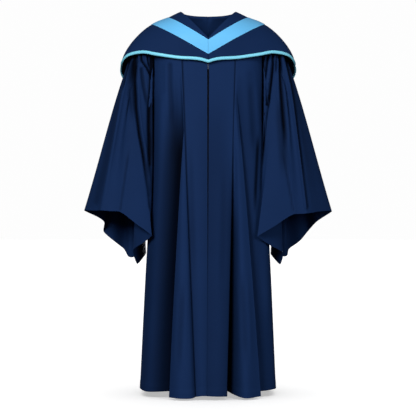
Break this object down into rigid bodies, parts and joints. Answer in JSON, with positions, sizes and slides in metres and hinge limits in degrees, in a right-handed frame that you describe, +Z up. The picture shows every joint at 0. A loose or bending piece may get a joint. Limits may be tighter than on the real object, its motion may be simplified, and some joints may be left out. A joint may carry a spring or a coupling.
{
  "type": "graduation gown with hood cape",
  "caption": "Long zip-front graduation gown with open bell sleeves and a shoulder cape edged in satin, standing open at the neck, cuffs and hem as when worn.",
  "frame": {"origin": "middle of the neck opening at the height of the two neck points, where the wearer's shoulders hold the gown", "axes": "+Z up; the front faces -Y; the gown's own left is at +X, so its right sleeve is at -X"},
  "size_m": [0.839, 0.4144, 1.2831],
  "materials": {
    "navy_cloth": "matt navy polyester gown cloth with a soft sheen",
    "satin_band": "light blue satin band",
    "satin_edging": "light blue twisted satin edging",
    "zip_tape": "black woven tape",
    "zip_metal": "dark enamelled metal"
  },
  "bodies": {
    "gown": {"band_front_right": "navy_cloth", "front_right": "navy_cloth", "back_right": "navy_cloth", "yoke_front_right": "navy_cloth", "yoke_back_right": "navy_cloth", "sleeve_right": "navy_cloth", "hood_right": "navy_cloth", "band_front_left": "navy_cloth", "front_left": "navy_cloth", "back_left": "navy_cloth", "yoke_front_left": "navy_cloth", "yoke_back_left": "navy_cloth", "sleeve_left": "navy_cloth", "hood_left": "navy_cloth", "hood_band_left": "satin_band", "hood_edging_left": "satin_edging", "zip_tape_left": "zip_tape", "hood_band_right": "satin_band", "hood_edging_right": "satin_edging", "zip_tape_right": "zip_tape", "zip_slider": "zip_metal"},
    "pull": {"zip_pull": "zip_metal"}
  },
  "joints": [
    {"name": "pull_swing", "type": "hinge", "parent": "gown", "child": "pull", "pos_m": [0, -0.12746, -0.19138], "axis": [-1, 0, 0], "range_deg": [0, 170]}
  ]
}
